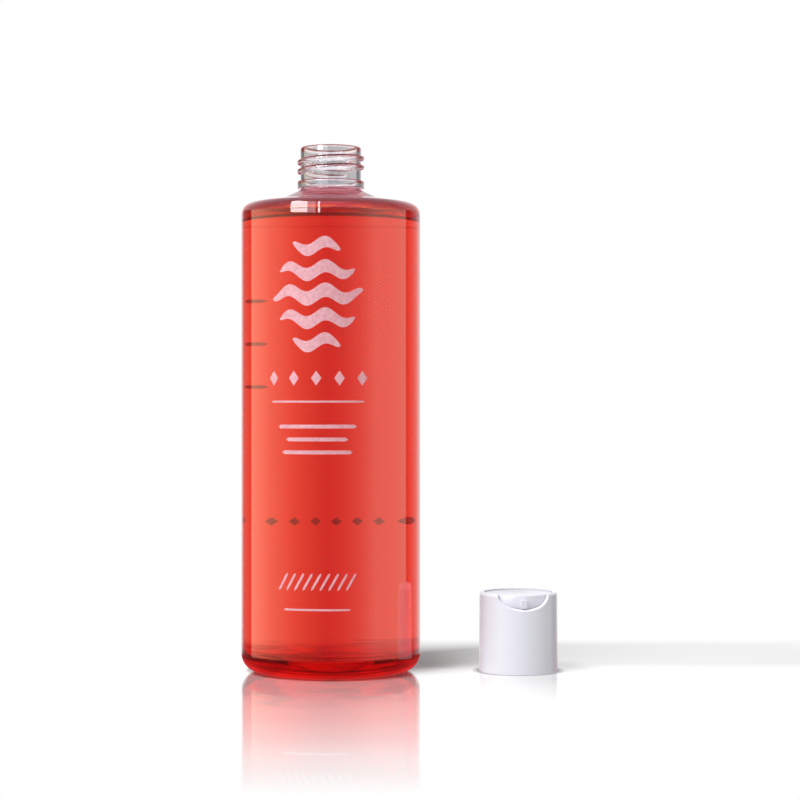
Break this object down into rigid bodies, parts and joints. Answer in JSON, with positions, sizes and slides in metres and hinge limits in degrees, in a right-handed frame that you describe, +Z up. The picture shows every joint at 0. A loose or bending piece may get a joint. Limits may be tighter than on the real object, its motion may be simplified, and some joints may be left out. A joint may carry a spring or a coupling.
{
  "type": "round screw-neck bottle with press-top cap",
  "caption": "Clear round PET bottle filled with red liquid, its screw neck open, with its white press-top cap taken off and standing beside it.",
  "frame": {"origin": "centre of the bottle's base, on the surface that it stands on", "axes": "+Z up along the bottle's axis, out of its neck; +X towards the cap that stands beside it; -Y towards the viewer"},
  "size_m": [0.1123, 0.0636, 0.1858],
  "materials": {
    "clear_pet": "clear, glossy blown PET, with plain printed shapes in pale pink ink",
    "red_liquid": "clear red liquid",
    "cap_white": "satin moulded white polypropylene",
    "disc_white": "satin moulded white polypropylene"
  },
  "bodies": {
    "bottle_and_cap": {"bottle": "clear_pet", "liquid": "red_liquid", "cap_body": "cap_white"},
    "disc": {"cap_disc": "disc_white"}
  },
  "joints": [
    {"name": "disc_tilt", "type": "hinge", "parent": "bottle_and_cap", "child": "disc", "pos_m": [0.0666, 0, 0.0254], "axis": [-0.9936, -0.1132, 0], "range_deg": [0, 27]}
  ]
}
